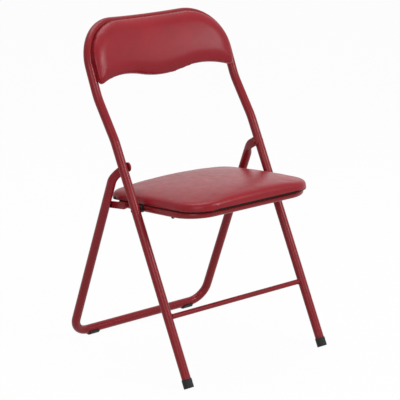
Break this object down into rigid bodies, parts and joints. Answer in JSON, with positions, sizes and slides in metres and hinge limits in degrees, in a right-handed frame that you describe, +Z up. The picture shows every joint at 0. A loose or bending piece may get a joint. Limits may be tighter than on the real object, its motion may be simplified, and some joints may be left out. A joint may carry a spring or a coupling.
{
  "type": "folding chair",
  "caption": "Red steel-tube folding chair with a padded vinyl seat, a dished padded back and black feet.",
  "frame": {"origin": "on the floor, under the middle of the open chair's width and depth", "axes": "+Z up, the sitter faces -Y, +X across the chair to the sitter's left"},
  "size_m": [0.4396, 0.4616, 0.7779],
  "materials": {
    "frame_red": "gloss",
    "vinyl_red": "satin",
    "foot_black": "satin",
    "bush_black": "matte",
    "steel": "satin",
    "board": "matte"
  },
  "bodies": {
    "front_frame": {"front_frame_tube": "frame_red", "front_brace": "frame_red", "foot_cap_left": "foot_black", "foot_cap_right": "foot_black", "back_board": "board", "back_pad": "vinyl_red", "back_lugs": "frame_red", "back_screws": "steel", "pivot_rivet_left": "frame_red", "pivot_rivet_right": "frame_red", "pivot_washer_left": "frame_red", "pivot_washer_right": "frame_red", "seat_rivet_left": "frame_red", "seat_rivet_right": "frame_red", "seat_bush_left": "bush_black", "seat_bush_right": "bush_black"},
    "rear_legs": {"rear_frame_tube": "frame_red", "rear_glide_left": "foot_black", "rear_glide_right": "foot_black", "link_pin_left": "frame_red", "link_pin_right": "frame_red", "link_spacer_left": "bush_black", "link_spacer_right": "bush_black"},
    "seat": {"seat_frame_tube": "frame_red", "seat_board": "board", "seat_pad": "vinyl_red", "seat_screws": "steel"},
    "link_left": {"link_left": "frame_red", "link_rivet_left": "frame_red"},
    "link_right": {"link_right": "frame_red", "link_rivet_right": "frame_red"}
  },
  "joints": [
    {"name": "rear_fold", "type": "hinge", "parent": "front_frame", "child": "rear_legs", "pos_m": [0, 0.01001, 0.466], "axis": [-1, 0, 0], "range_deg": [0, 48.25]},
    {"name": "seat_fold", "type": "hinge", "parent": "front_frame", "child": "seat", "pos_m": [0, -0.03486, 0.376], "axis": [-1, 0, 0], "range_deg": [0, 111.92]},
    {"name": "link_left_turn", "type": "hinge", "parent": "rear_legs", "child": "link_left", "pos_m": [0, 0.07685, 0.36455], "axis": [1, 0, 0], "range_deg": [0, 89.95]},
    {"name": "link_right_turn", "type": "hinge", "parent": "rear_legs", "child": "link_right", "pos_m": [0, 0.07685, 0.36455], "axis": [1, 0, 0], "range_deg": [0, 89.95]}
  ],
  "couplings": [
    {"joint": "seat_fold", "follows": "rear_fold", "ratio": 2.3192},
    {"joint": "link_left_turn", "follows": "rear_fold", "ratio": 1.8638},
    {"joint": "link_right_turn", "follows": "rear_fold", "ratio": 1.8638}
  ]
}
